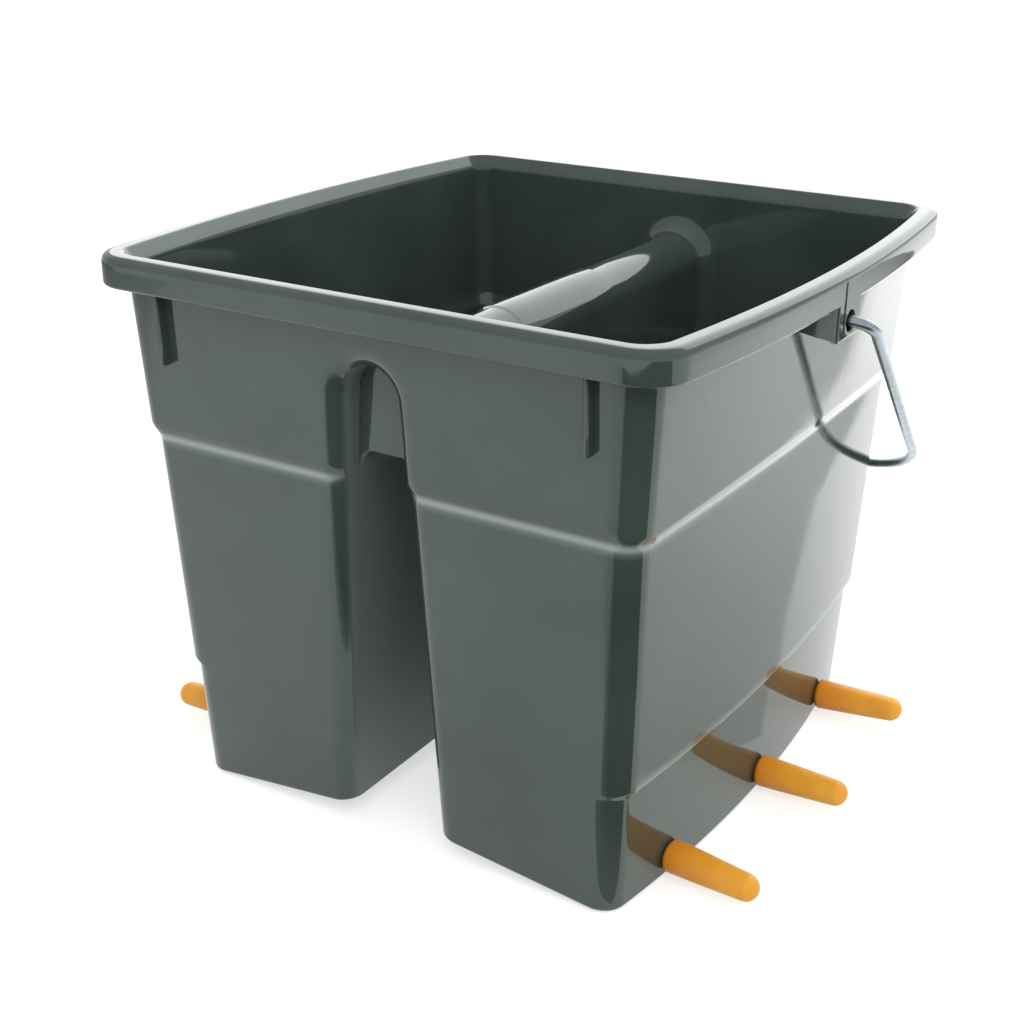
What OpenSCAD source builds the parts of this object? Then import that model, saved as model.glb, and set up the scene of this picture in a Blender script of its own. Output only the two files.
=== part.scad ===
// Multi teat lamb feeder: a moulded tub whose two legs straddle a hurdle rail, with a row of
// latex teats at the foot of each side wall and a wire bail hooked through an ear on each side.
// The origin is on the ground under the middle of the tub. X runs across the slot, Y along it.

/* [Tub] */
// Height of the tub from the ground to the rim
tub_height = 270; // [250:1:300]
// Width between the upright corners at the ground, across the slot
base_width = 234; // [220:1:260]
// Depth of the tub at the ground, along the slot
base_depth = 270; // [250:1:300]
// Thickness of the moulded walls and floors
wall = 3; // [2.4:0.1:3.4]
// Lean of every wall away from upright, in degrees
draft = 2.7; // [2:0.1:3.2]
// Radius of the upright corners
corner_radius = 11; // [8:0.5:14]
// How far the side walls swell out at the ground
base_bulge = 11.7; // [8:0.1:14]
// How far the side walls swell out at the upper step
step_bulge = 3.1; // [1:0.1:6]
// How far the side walls swell out at the rim
rim_bulge = 11.1; // [8:0.1:14]
// How far the floors fall from the slot to the teats
floor_fall = 10; // [6:0.5:14]
// Size of the slanted edge round the foot of the walls
foot_edge = 2.5; // [1:0.1:3]

/* [Steps] */
// Height of the step that goes round the whole tub
step_height = 184.5; // [175:0.5:192]
// How far the wall stands out above that step
step_out = 2.3; // [1.5:0.1:3]
// Height of the lower step on the two side walls
low_step_height = 61.5; // [50:0.5:75]
// How far the side wall stands out above the lower step
low_step_out = 2.9; // [1.5:0.1:3.5]
// Height that the slope of a step takes up
step_slope = 2.5; // [2:0.1:4]

/* [Rim] */
// How far the rim stands out from the wall
rim_overhang = 10; // [8:0.5:12]
// Height of the skirt that hangs from the rim
skirt_height = 14.5; // [12:0.5:18]
// Thickness of the skirt and of the rim's flat top
skirt_wall = 3; // [2.4:0.1:3.4]
// Corner radius of the rim
rim_corner = 17.5; // [14:0.5:20]
// Rounding of the rim's top edge
rim_round = 2.5; // [1:0.1:3]
// Width of the bevel inside the rim
lip_width = 3; // [1.5:0.1:4]
// Height of the bevel inside the rim
lip_height = 6; // [3:0.5:8]

/* [Slot] */
// Radius of the arch over the slot
arch_radius = 13.5; // [13:0.5:16]
// Height of the top of the arch
arch_top = 237; // [230:1:242]
// How much narrower each side of the slot is above the step
slot_step = 1; // [0.5:0.1:1.5]
// Rounding of the slot's front and back mouths
mouth_round = 10; // [5:0.5:10]
// Distance of each rail web behind the mouth of the slot
web_setback = 14; // [12:1:40]
// Height of the webs' lower edges, which sit on the rail
web_height = 194.5; // [189:0.5:200]
// Thickness of the rail webs
web_thickness = 4; // [3:0.1:6]
// Rounding where a web's lower edge meets the slot
web_round = 8; // [4:0.5:8]
// Length of the slightly thicker middle of the ridge over the slot
collar_length = 86; // [60:1:120]
// How much thicker that middle is
collar_out = 0.8; // [0.4:0.1:1.5]

/* [Fins and ears] */
// Distance between the two stacking fins of a face
fin_spacing = 218; // [200:1:230]
// Thickness of a fin
fin_thickness = 2.4; // [2:0.2:5]
// How far a fin reaches below the skirt
fin_drop = 34; // [25:1:40]
// How far a fin's outer edge stays behind the outside of the skirt
fin_setback = 4.5; // [1:0.5:5]
// Width of an ear where it meets the wall
ear_width = 50; // [46:1:54]
// Width of an ear beside its pad
tab_width = 26; // [24:1:30]
// How far an ear hangs below the skirt
ear_drop = 16; // [14:0.5:20]
// How much higher an ear's lower edge is at the wall
ear_rise = 6.5; // [4:0.5:8]
// Thickness of an ear's two slanted sides
ear_rib = 2; // [1.5:0.5:2.5]
// Width of the pad round an ear's hole
pad_width = 20; // [16:1:26]
// How far the pad stands out from the skirt
pad_out = 3; // [2:0.5:4]
// Diameter of the hole in an ear
ear_hole = 10; // [9:0.5:11]
// How far the middle of that hole lies below the skirt
pivot_drop = 8; // [7:0.5:9]

/* [Bail] */
// Diameter of the bail wire
wire = 5.5; // [4.5:0.1:6]
// Distance from the pivot to the bail's crossbar
bail_reach = 187; // [185:0.5:210]
// Distance from an ear's pad to the middle of the arm beside it
arm_gap = 8; // [7:0.5:10]
// How far each arm leans in between the ear and the crossbar
arm_lean = 15; // [8:0.5:16]
// Bend radius at the two ends of the crossbar
bail_corner = 40; // [30:1:40]
// Bend radius beside an ear
hook_bend = 7; // [5:0.5:8]
// Bend radius of the turned end inside an ear
tail_bend = 4; // [3.2:0.1:4.5]
// Length of the turned end inside an ear, from the pivot
tail_length = 10; // [8.5:0.5:12]
// Gap between the crossbar and the wall that it rests on
bail_gap = 0.3; // [0.2:0.1:1]

/* [Teats] */
// Distance between neighbouring teats along a wall
teat_spacing = 90; // [80:1:98]
// Height of a teat's middle above the ground
teat_height = 10.6; // [10.4:0.1:14]
// Diameter of a teat beside the wall
teat_diameter = 15.8; // [14:0.1:18]
// Diameter of a teat at its tip
tip_diameter = 12.8; // [10:0.1:13.8]
// Length of a teat outside the wall
teat_length = 47; // [40:1:55]
// Rounding of a teat's shoulder at the wall
shoulder_round = 2.4; // [1:0.1:2.5]
// Diameter of the hole for a teat
teat_hole = 11; // [10:0.1:11.5]
// Diameter of the bead that holds a teat inside the wall
bead_diameter = 14; // [13:0.1:14.2]
// Length of that bead
bead_length = 4; // [3:0.5:5]
// Diameter of the milk passage in a teat
milk_bore = 6; // [4:0.5:7]
// Diameter of the hole in a teat's tip
tip_hole = 1.5; // [1:0.1:2]

/* [Hidden] */
$fn = 48;

// Facets of the moulded skins
side_steps = 6;
corner_steps = 5;
arch_steps = 14;
mouth_steps = 3;
rim_steps = 3;

// Small lengths: how far pieces of one moulding run into each other, how far cuts run past a
// face, how far an ear stays behind the skirt's outside, the clearances between the latex and its
// hole, how far a flared cut starts outside the face, and how much thicker the wire is in a bend
// and how far the bend laps over a straight
bite = 1;
past = 20;
tab_setback = 0.5;
neck_clearance = 0.1;
seat_clearance = 0.3;
start_proud = 0.25;
joint_bulge = 0.1;
joint_lap = 0.4;

// Heights of the rim and the pivot, and the middle of the slot's arch
skirt_bottom = tub_height - skirt_height;
pivot_height = skirt_bottom - pivot_drop;
arch_middle = arch_top - arch_radius;
step_top = step_height + step_slope;
low_step_top = low_step_height + step_slope;

// Outer faces of the walls at a height. The two flags say whether a step is already passed.
function lean(z) = tan(draft) * z;
function side_at(z, low, high) = base_width / 2 + lean(z) + low * low_step_out + high * step_out;
function face_at(z, high) = base_depth / 2 + lean(z) + high * step_out;
function bulge_at(z) = z < step_height
    ? base_bulge + (step_bulge - base_bulge) * z / step_height
    : step_bulge + (rim_bulge - step_bulge) * (z - step_height) / (tub_height - step_height);

// Outline of the rim
rim_side = side_at(skirt_bottom, 1, 1) + rim_overhang;
rim_face = face_at(skirt_bottom, 1) + rim_overhang;

// Places of the ears and the bail
skirt_x = rim_side + rim_bulge;
tab_x = skirt_x - tab_setback;
pad_x = skirt_x + pad_out;
ear_wall_x = side_at(pivot_height, 1, 1) + bulge_at(pivot_height);
ear_bottom = skirt_bottom - ear_drop;
arm_x = pad_x + arm_gap;
tail_x = (ear_wall_x + tab_x - skirt_wall) / 2;
rest_reach = face_at(pivot_height, 0) + (wire / 2 + bail_gap) / cos(draft);
bail_rest = draft + acos(rest_reach * cos(draft) / bail_reach);

// A quarter of a rounded rectangle, from the middle of its side round to its face
function quarter(half_x, half_y, radius) = concat(
    [for (i = [0 : side_steps - 1]) [half_x, (half_y - radius) * i / side_steps]],
    [for (i = [0 : corner_steps])
        [half_x - radius, half_y - radius] + radius * [cos(90 * i / corner_steps), sin(90 * i / corner_steps)]]);

// The whole outline at one height, with its two sides swollen by a parabola
function ring(half_x, half_y, bulge, radius, z) =
    let (part = [for (p = quarter(half_x, half_y, radius))
                    [p.x + bulge * (1 - pow(p.y / half_y, 2)), p.y]],
         back = [for (i = [len(part) - 1 : -1 : 1]) part[i]])
    [for (p = part) [p.x, p.y, z], for (p = back) [-p.x, p.y, z],
     for (p = part) [-p.x, -p.y, z], for (p = back) [p.x, -p.y, z]];

// A ring of the tub's wall, drawn in by an inset
function wall_ring(z, low, high, inset) =
    ring(side_at(z, low, high) - inset, face_at(z, high) - inset, bulge_at(z), corner_radius - inset, z);

// A ring of the rim, drawn in by an inset
function rim_ring(z, inset) = ring(rim_side - inset, rim_face - inset, rim_bulge, rim_corner - inset, z);

// Skins a stack of rings that all have the same number of points
module loft(rings) {
    count = len(rings[0]);
    last = len(rings) - 1;
    polyhedron(
        points = [for (r = rings) each r],
        faces = concat(
            [[for (i = [0 : count - 1]) i]],
            [[for (i = [count - 1 : -1 : 0]) last * count + i]],
            [for (k = [0 : last - 1]) for (i = [0 : count - 1])
                let (j = (i + 1) % count) [k * count + i, (k + 1) * count + i, (k + 1) * count + j]],
            [for (k = [0 : last - 1]) for (i = [0 : count - 1])
                let (j = (i + 1) % count) [k * count + i, (k + 1) * count + j, k * count + j]]));
}

// The outside of the tub as a solid block
module tub_block() {
    loft([wall_ring(0, 0, 0, foot_edge),
          wall_ring(foot_edge, 0, 0, 0),
          wall_ring(low_step_height, 0, 0, 0),
          wall_ring(low_step_top, 1, 0, 0),
          wall_ring(step_height, 1, 0, 0),
          wall_ring(step_top, 1, 1, 0),
          wall_ring(tub_height, 1, 1, 0)]);
}

// The inside of the tub, before the slot and the floors are left standing in it
module tub_hollow() {
    loft([wall_ring(-past, 0, 0, wall),
          wall_ring(low_step_height, 0, 0, wall),
          wall_ring(low_step_top, 1, 0, wall),
          wall_ring(step_height, 1, 0, wall),
          wall_ring(step_top, 1, 1, wall),
          wall_ring(tub_height - lip_height, 1, 1, wall),
          wall_ring(tub_height, 1, 1, wall - lip_width),
          wall_ring(tub_height + past, 1, 1, wall - lip_width)]);
}

// The rim: a slab with a rounded top edge, hollowed from below so that a skirt hangs from it
module rim_block() {
    difference() {
        loft(concat(
            [rim_ring(skirt_bottom, 0)],
            [for (i = [0 : rim_steps])
                let (turn = 90 * i / rim_steps)
                rim_ring(tub_height - rim_round * (1 - sin(turn)), rim_round * (1 - cos(turn)))]));
        loft([rim_ring(skirt_bottom - past, skirt_wall), rim_ring(tub_height - skirt_wall, skirt_wall)]);
    }
}

// Half width of the slot, above and below the step
function slot_above(z) = arch_radius + lean(arch_middle - z);
function slot_below(z) = slot_above(z) + slot_step;

// Upright outline of the slot, grown on every side, as [x, z] points from the left foot round
function slot_outline(grow) =
    let (foot = slot_below(-past) + grow,
         under = slot_below(step_height) + grow,
         over = slot_above(step_top) + grow,
         radius = arch_radius + grow)
    concat([[-foot, -past], [-under, step_height], [-over, step_top]],
           [for (i = [0 : arch_steps])
               let (turn = 180 * (1 - i / arch_steps))
               [radius * cos(turn), arch_middle + radius * sin(turn)]],
           [[over, step_top], [under, step_height], [foot, -past]]);

// One outline of the slot, set a depth inside the front or the back face
function slot_ring(skin, grow, depth, side) =
    [for (p = slot_outline(skin + grow))
        [p.x, side * (face_at(p[1], p[1] > step_height ? 1 : 0) - skin - depth), p[1]]];

// The slot as a solid, with its mouths flared, and with a skin round it where one is asked for
module slot_block(skin) {
    outside = rim_face + past;
    turns = [for (i = [0 : mouth_steps]) 90 * i / mouth_steps];
    front = [for (turn = turns)
        slot_ring(skin, mouth_round * (1 - sin(turn)),
                  turn == 0 ? -start_proud : mouth_round * (1 - cos(turn)), -1)];
    rear = [for (i = [mouth_steps : -1 : 0])
        slot_ring(skin, mouth_round * (1 - sin(turns[i])),
                  i == 0 ? -start_proud : mouth_round * (1 - cos(turns[i])), 1)];
    cap = slot_outline(skin + mouth_round);
    loft(concat([[for (p = cap) [p.x, -outside, p[1]]]], front, rear, [[for (p = cap) [p.x, outside, p[1]]]]));
}

// Lays an [x, z] drawing upright across the tub and gives it a length along Y
module along_slot(from, length) {
    translate([0, from + length, 0])
        rotate([90, 0, 0])
            linear_extrude(length)
                children();
}

// Everything below the sloping floors, raised by the floor's thickness for the inside
module below_floor(lift) {
    slope = floor_fall / (base_width / 2 - slot_below(floor_fall));
    reach = base_width / 2 + past;
    outer = lift > 0 ? [[base_width / 2, lift], [reach, lift]] : [[reach, -slope * past]];
    right = concat([[0, slope * base_width / 2 + lift]], outer, [[reach, -past]]);
    left = [for (i = [len(right) - 1 : -1 : 1]) [-right[i].x, right[i][1]]];
    along_slot(-rim_face - past, 2 * (rim_face + past))
        polygon(concat(right, left));
}

// The milk space: one hollow above, two compartments below, parted by the ridge over the slot
module milk_space() {
    difference() {
        tub_hollow();
        slot_block(wall);
        below_floor(wall);
        along_slot(-collar_length / 2, collar_length)
            polygon(slot_outline(wall + collar_out));
    }
}

// A web across the slot, whose lower edge sits on the rail
module rail_web(side) {
    mouth = face_at(step_top, 1) - web_setback;
    edge = slot_above(web_height);
    half = edge + bite;
    from = side > 0 ? mouth - web_thickness : -mouth;
    along_slot(from, web_thickness) {
        intersection() {
            polygon(slot_outline(bite));
            translate([-half, web_height])
                square([2 * half, arch_top + bite - web_height]);
        }
        for (end = [-1, 1])
            difference() {
                translate([end > 0 ? edge - web_round : -edge - slot_step - bite, web_height - web_round])
                    square([web_round + slot_step + bite, web_round + bite]);
                translate([end * (edge - web_round), web_height - web_round])
                    circle(web_round);
            }
    }
}

// The upright fins under the skirt, which keep stacked tubs from jamming
module fins() {
    bottom = skirt_bottom - fin_drop;
    inner = face_at(bottom, 1) - bite;
    for (x = [-1, 1], y = [-1, 1])
        translate([x * fin_spacing / 2 - fin_thickness / 2,
                   y > 0 ? inner : -rim_face + fin_setback, bottom])
            cube([fin_thickness, rim_face - fin_setback - inner, tub_height - skirt_wall + bite - bottom]);
}

// The upright section of an ear at a distance from the tub's middle
function ear_section(x, half, bottom, top) =
    [[x, -half, bottom], [x, half, bottom], [x, half, top], [x, -half, top]];

// An ear for the bail on the right side: a hollow boss with slanted sides below the skirt, and a pad
module ear() {
    under_rim = tub_height - skirt_wall;
    rib_x = ear_wall_x - bite;
    slant = (ear_width - tab_width) / 2 / (tab_x - rib_x);
    side = ear_rib * sqrt(1 + slant * slant);
    difference() {
        loft([ear_section(rib_x, ear_width / 2, ear_bottom + ear_rise, under_rim + bite),
              ear_section(tab_x, tab_width / 2, ear_bottom, under_rim + bite)]);
        loft([ear_section(rib_x, ear_width / 2 - side, ear_bottom - bite, under_rim),
              ear_section(tab_x - skirt_wall, tab_width / 2 + slant * skirt_wall - side,
                          ear_bottom - bite, under_rim)]);
    }
    translate([tab_x - skirt_wall, -pad_width / 2, ear_bottom])
        cube([pad_x - tab_x + skirt_wall, pad_width, tub_height - rim_round - ear_bottom]);
}

// Puts its children on the outside of the right wall at a teat's place, pointing outwards along +Z
module at_teat(y) {
    half = face_at(teat_height, 0);
    bulge = bulge_at(teat_height);
    translate([side_at(teat_height, 0, 0) + bulge * (1 - pow(y / half, 2)), y, teat_height])
        rotate([0, 0, atan(2 * bulge * y / pow(half, 2))])
            rotate([0, 90, 0])
                children();
}

// Repeats its children on the left side
module both_sides() {
    children();
    mirror([1, 0, 0])
        children();
}

module feeder_body() {
    color([0.23, 0.27, 0.25]) {
        difference() {
            union() {
                tub_block();
                rim_block();
                fins();
                both_sides()
                    ear();
            }
            slot_block(0);
            below_floor(0);
            milk_space();
            both_sides() {
                translate([tab_x - skirt_wall - bite, 0, pivot_height])
                    rotate([0, 90, 0])
                        cylinder(d = ear_hole, h = pad_x - tab_x + skirt_wall + 2 * bite);
                for (place = [-1, 0, 1])
                    at_teat(place * teat_spacing)
                        translate([0, 0, -2 * wall])
                            cylinder(d = teat_hole, h = 3 * wall);
            }
        }
        rail_web(-1);
        rail_web(1);
    }
}

// Rounded corner of a wire path: its two tangent points and its middle
function unit(v) = v / norm(v);
function bend_angle(a, b, c) = acos(unit(a - b) * unit(c - b));
function bend_start(a, b, c, radius) = b + unit(a - b) * radius / tan(bend_angle(a, b, c) / 2);
function bend_middle(a, b, c, radius) =
    b + unit(unit(a - b) + unit(c - b)) * radius / sin(bend_angle(a, b, c) / 2);

// A straight piece of wire between two points of the bail's plane
module wire_run(from, to) {
    translate([from.x, from.y, 0])
        rotate([0, 0, atan2(to.y - from.y, to.x - from.x)])
            rotate([0, 90, 0])
                cylinder(d = wire, h = norm(to - from));
}

// A bent piece of wire round the corner b. It is a hair thicker than the straight pieces and laps
// over their ends, so that all of them become one solid.
module wire_bend(a, b, c, radius) {
    middle = bend_middle(a, b, c, radius);
    start = bend_start(a, b, c, radius) - middle;
    stop = bend_start(c, b, a, radius) - middle;
    lap = 180 * joint_lap / (PI * radius);
    sweep = acos(unit(start) * unit(stop)) + 2 * lap;
    left_turn = start.x * stop.y - start.y * stop.x > 0;
    first = left_turn ? start : stop;
    translate([middle.x, middle.y, 0])
        rotate([0, 0, atan2(first.y, first.x) - lap])
            rotate_extrude(angle = sweep)
                translate([radius, 0])
                    circle(d = wire + joint_bulge);
}

module bail() {
    right = [[tail_x, -tail_length], [tail_x, 0], [arm_x, 0], [arm_x - arm_lean, bail_reach]];
    path = concat(right, [for (i = [len(right) - 1 : -1 : 0]) [-right[i].x, right[i].y]]);
    bends = [0, tail_bend, hook_bend, bail_corner, bail_corner, hook_bend, tail_bend, 0];
    last = len(path) - 1;
    color([0.74, 0.76, 0.78])
        translate([0, 0, pivot_height])
            rotate([-bail_rest, 0, 0]) {
                for (i = [1 : last - 1])
                    wire_bend(path[i - 1], path[i], path[i + 1], bends[i]);
                for (i = [0 : last - 1])
                    wire_run(
                        i == 0 ? path[0] : bend_start(path[i + 1], path[i], path[i - 1], bends[i]),
                        i == last - 1 ? path[last]
                                      : bend_start(path[i], path[i + 1], path[i + 2], bends[i + 1]));
            }
}

// Half outline of a teat, as [radius, distance from the wall's outer face]
function teat_outline() =
    let (inner = -wall - 2 * seat_clearance,
         neck = teat_hole / 2 - neck_clearance,
         body = teat_diameter / 2,
         tip = tip_diameter / 2,
         arc = [0 : 15 : 90])
    concat([[milk_bore / 2, inner - bead_length], [bead_diameter / 2, inner - bead_length],
            [bead_diameter / 2, inner], [neck, inner], [neck, seat_clearance]],
           [for (turn = arc) [body - shoulder_round + shoulder_round * sin(turn),
                              seat_clearance + shoulder_round * (1 - cos(turn))]],
           [for (turn = arc) if (turn < 90) [tip * cos(turn), teat_length - tip + tip * sin(turn)]],
           [[tip_hole / 2, teat_length - tip * (1 - cos(asin(tip_hole / tip_diameter)))],
            [tip_hole / 2, teat_length - tip], [milk_bore / 2, teat_length - 2 * tip]]);

// A pull-through teat: a bead inside the wall, a neck in the hole and a hollow body outside
module teat(side, place) {
    color([0.93, 0.62, 0.16])
        mirror([side < 0 ? 1 : 0, 0, 0])
            at_teat(place * teat_spacing)
                rotate_extrude()
                    polygon(teat_outline());
}

feeder_body();
bail();
teat(1, -1);  // teat_right_front
teat(1, 0);  // teat_right_middle
teat(1, 1);  // teat_right_rear
teat(-1, -1);  // teat_left_front
teat(-1, 0);  // teat_left_middle
teat(-1, 1);  // teat_left_rear
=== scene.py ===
# %% [markdown]
# # A multi teat lamb feeder
# The feeder is a deep plastic tub with a tunnel moulded through it from front to back. The tunnel
# drops over the top rail of a hurdle, so three lambs can drink on each side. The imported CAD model
# is loaded first and stays as a fixed frame. Every piece below is built in that frame, in metres,
# and takes the place of one CAD node.

# %% Load the CAD frame
import math

import bmesh
import bpy
import numpy as np
from mathutils import Matrix, Vector


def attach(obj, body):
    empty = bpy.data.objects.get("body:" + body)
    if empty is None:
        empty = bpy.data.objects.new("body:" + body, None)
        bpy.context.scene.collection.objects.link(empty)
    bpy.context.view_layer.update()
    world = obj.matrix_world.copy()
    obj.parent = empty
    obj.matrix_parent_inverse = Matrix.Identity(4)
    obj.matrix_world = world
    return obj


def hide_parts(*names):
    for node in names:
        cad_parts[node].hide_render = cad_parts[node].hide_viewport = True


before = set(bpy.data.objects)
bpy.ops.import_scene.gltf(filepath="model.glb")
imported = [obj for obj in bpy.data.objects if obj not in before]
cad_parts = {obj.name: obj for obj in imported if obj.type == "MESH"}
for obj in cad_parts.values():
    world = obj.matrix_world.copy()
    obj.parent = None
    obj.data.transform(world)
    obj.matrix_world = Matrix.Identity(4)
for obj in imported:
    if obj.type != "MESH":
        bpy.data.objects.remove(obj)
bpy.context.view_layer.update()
print("CAD nodes:", sorted(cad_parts))

# %% [markdown]
# ## Sizes
# Most numbers are the CAD model's own sizes in millimetres, so that each piece lands on the node it
# stands for. A few are only for looks: the soft rise of the two steps and the rounding of the rim.

# %% Sizes of the tub in millimetres
MM = 0.001
TUB_HEIGHT = 270
BASE_WIDTH = 234
BASE_DEPTH = 270
WALL = 3
DRAFT = 2.7  # degrees
CORNER_RADIUS = 11
BASE_BULGE = 11.7
STEP_BULGE = 3.1
RIM_BULGE = 11.1
FLOOR_FALL = 10
FOOT_ROUND = 2.5
STEP_HEIGHT = 184.5
STEP_OUT = 2.3
LOW_STEP_HEIGHT = 61.5
LOW_STEP_OUT = 2.9
# How far below its height each step starts, and over how many millimetres it rises
STEP_EARLY = 4
STEP_SLOPE = 9.5
LOW_STEP_EARLY = 1
LOW_STEP_SLOPE = 4.6
RIM_OVERHANG = 10
SKIRT_HEIGHT = 14.5
SKIRT_WALL = 3
RIM_CORNER = 17.5
RIM_ROUND = 4
ARCH_RADIUS = 13.5
ARCH_MIDDLE = 223.5
SLOT_STEP = 1
MOUTH_ROUND = 10
PIVOT_DROP = 8
SKIRT_BOTTOM = TUB_HEIGHT - SKIRT_HEIGHT
UNDER_RIM = TUB_HEIGHT - SKIRT_WALL
PIVOT_HEIGHT = SKIRT_BOTTOM - PIVOT_DROP
print("Tub:", BASE_WIDTH, "x", BASE_DEPTH, "mm at the ground,", TUB_HEIGHT, "mm high")

# %% [markdown]
# ## The skin of the tub
# Every wall leans a little, so that the tub slides off its mould, and soft steps and swollen sides
# make the thin wall stiff. All of this follows a rule of the height, so the skin is written as rows
# of points, from the ground to the rim. Only a quarter is computed, because the other three mirror
# it. A subdivision surface would do as well, but its cage is harder to keep on the CAD sizes.

# %% Walls as a function of height
def soft(part):
    """Rises smoothly from 0 to 1."""
    part = np.clip(part, 0, 1)
    return part * part * (3 - 2 * part)


def step_at(z):
    """0 below the upper step, 1 above it, and a smooth rise between, so its edges are rounded."""
    return soft((z - STEP_HEIGHT + STEP_EARLY) / STEP_SLOPE)


def low_step_at(z):
    """The same for the lower step, which only the side walls have."""
    return soft((z - LOW_STEP_HEIGHT + LOW_STEP_EARLY) / LOW_STEP_SLOPE)


def lean(z):
    """How far the draft moves a wall outwards over this height."""
    return math.tan(math.radians(DRAFT)) * z


def side_at(z):
    """From the middle of the tub to the ends of a side wall."""
    return BASE_WIDTH / 2 + lean(z) + LOW_STEP_OUT * low_step_at(z) + STEP_OUT * step_at(z)


def face_at(z):
    """From the middle of the tub to its front or back face."""
    return BASE_DEPTH / 2 + lean(z) + STEP_OUT * step_at(z)


def bulge_at(z):
    """How far the middle of a side wall stands out past its ends."""
    return np.interp(z, [0, STEP_HEIGHT, TUB_HEIGHT], [BASE_BULGE, STEP_BULGE, RIM_BULGE])


def swell_at(z):
    """From the middle of the tub to the middle of a side wall."""
    return side_at(z) + bulge_at(z)


def slot_at(z):
    """Half the width of the tunnel below its arch."""
    return ARCH_RADIUS + lean(ARCH_MIDDLE - z) + SLOT_STEP * (1 - step_at(z))


RIM_SIDE = side_at(SKIRT_BOTTOM) + RIM_OVERHANG
RIM_FACE = face_at(SKIRT_BOTTOM) + RIM_OVERHANG
print("Rim:", round(2 * (RIM_SIDE + RIM_BULGE)), "x", round(2 * RIM_FACE), "mm")

# %% [markdown]
# ## Columns
# A row runs along the tunnel, round its mouth, along the front face, round the corner and along the
# side to its middle. The columns are closest where the wall bends, because facets show there. Inside
# the tub the tunnel is a ridge with a thicker middle, so two columns stand 1 mm apart where it ends.

# %% Columns of the quarter
COLLAR_HALF = 43
COLLAR_OUT = 0.8
TUNNEL_STOPS = np.array([0, 21, COLLAR_HALF - 0.6, COLLAR_HALF + 0.4, 60, 80, 100])
MOUTH_TURNS = np.radians(np.linspace(90, 0, 10))[:-1]
FACE_PARTS = np.linspace(0, 1, 19)
CORNER_TURNS = np.radians(np.linspace(0, 90, 13))[1:]
SIDE_PARTS = np.linspace(0, 1, 33)[1:]
INNER_COLUMNS = len(TUNNEL_STOPS) + len(MOUTH_TURNS)
OUTER_COLUMNS = len(FACE_PARTS) + len(CORNER_TURNS) + len(SIDE_PARTS)
MOUTH_GROW = np.concatenate([np.zeros(len(TUNNEL_STOPS)), MOUTH_ROUND * (1 - np.sin(MOUTH_TURNS))])


def around(start, face, side, bulge, corner):
    """The columns of the face, the corner and the side, each of which may have its own height."""
    face = np.broadcast_to(face, OUTER_COLUMNS)
    side = np.broadcast_to(side, OUTER_COLUMNS)
    flat = slice(0, len(FACE_PARTS))
    bend = slice(len(FACE_PARTS), len(FACE_PARTS) + len(CORNER_TURNS))
    rest = slice(len(FACE_PARTS) + len(CORNER_TURNS), None)
    x = np.array(side, float)
    y = -face
    x[flat] = start + FACE_PARTS * (side[flat] - corner - start)
    x[bend] = side[bend] - corner + corner * np.sin(CORNER_TURNS)
    y[bend] = -(face[bend] - corner + corner * np.cos(CORNER_TURNS))
    y[rest] = -(face[rest] - corner) * (1 - SIDE_PARTS)
    return x + bulge * (1 - (y / face) ** 2), y


print("Columns in a quarter:", INNER_COLUMNS + OUTER_COLUMNS)

# %% [markdown]
# ## Rows
# There are four kinds of row: round the rim, round the wall above the tunnel, across a leg below the
# arch, and at an angle of the arch, where the tunnel bends over while the face goes straight up. Each
# takes its distance inside the outer skin, so the inside of the tub needs no second set of rules.

# %% Rows of the quarter
def rim_row(inset, z):
    """A row of the rim, so many millimetres inside its outer edge."""
    x, y = around(0, RIM_FACE - inset, RIM_SIDE - inset, RIM_BULGE, RIM_CORNER - inset)
    return np.column_stack([x, y, np.full(OUTER_COLUMNS, float(z))])


def outer_columns(start, z, skin):
    """The columns outside the tunnel, so many millimetres inside the outer skin."""
    x, y = around(start, face_at(z) - skin, side_at(z) - skin, bulge_at(z), CORNER_RADIUS - skin)
    return np.column_stack([x, y, z])


def upper_row(skin, z):
    """A row above the tunnel."""
    return outer_columns(0, np.full(OUTER_COLUMNS, float(z)), skin)


def tunnel_columns(slot_x, z, skin):
    """The columns on the tunnel and round its mouth, whose slot half widths are given."""
    face = face_at(z) - skin
    count = len(TUNNEL_STOPS)
    depth = np.concatenate([face[:count] - TUNNEL_STOPS, MOUTH_ROUND * (1 - np.cos(MOUTH_TURNS))])
    return np.column_stack([slot_x, depth - face, z])


def ridge_thickness(skin):
    """Inside the tub the middle of the ridge is a little thicker."""
    thick = np.zeros(INNER_COLUMNS)
    if skin >= WALL:
        thick[:len(TUNNEL_STOPS)][TUNNEL_STOPS < COLLAR_HALF] = COLLAR_OUT
    return thick


def lower_row(skin, z):
    """A row below the arch; z is one height, or one for each column."""
    z = np.broadcast_to(np.asarray(z, float), INNER_COLUMNS + OUTER_COLUMNS)
    inner_z, outer_z = z[:INNER_COLUMNS], z[INNER_COLUMNS:]
    slot_x = slot_at(inner_z) + skin + MOUTH_GROW + ridge_thickness(skin)
    start = slot_at(outer_z[:len(FACE_PARTS)]) + skin + MOUTH_ROUND
    return np.concatenate([tunnel_columns(slot_x, inner_z, skin), outer_columns(start, outer_z, skin)])


def arch_row(skin, turn):
    """A row at an angle of the arch."""
    radius = ARCH_RADIUS + skin + MOUTH_GROW + ridge_thickness(skin)
    inner = tunnel_columns(radius * math.cos(turn), ARCH_MIDDLE + radius * math.sin(turn), skin)
    edge = ARCH_RADIUS + skin + MOUTH_ROUND
    z = np.full(OUTER_COLUMNS, ARCH_MIDDLE + edge * math.sin(turn))
    return np.concatenate([inner, outer_columns(edge * math.cos(turn), z, skin)])


print("Points in a row with the tunnel:", len(lower_row(0, STEP_HEIGHT)))

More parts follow.
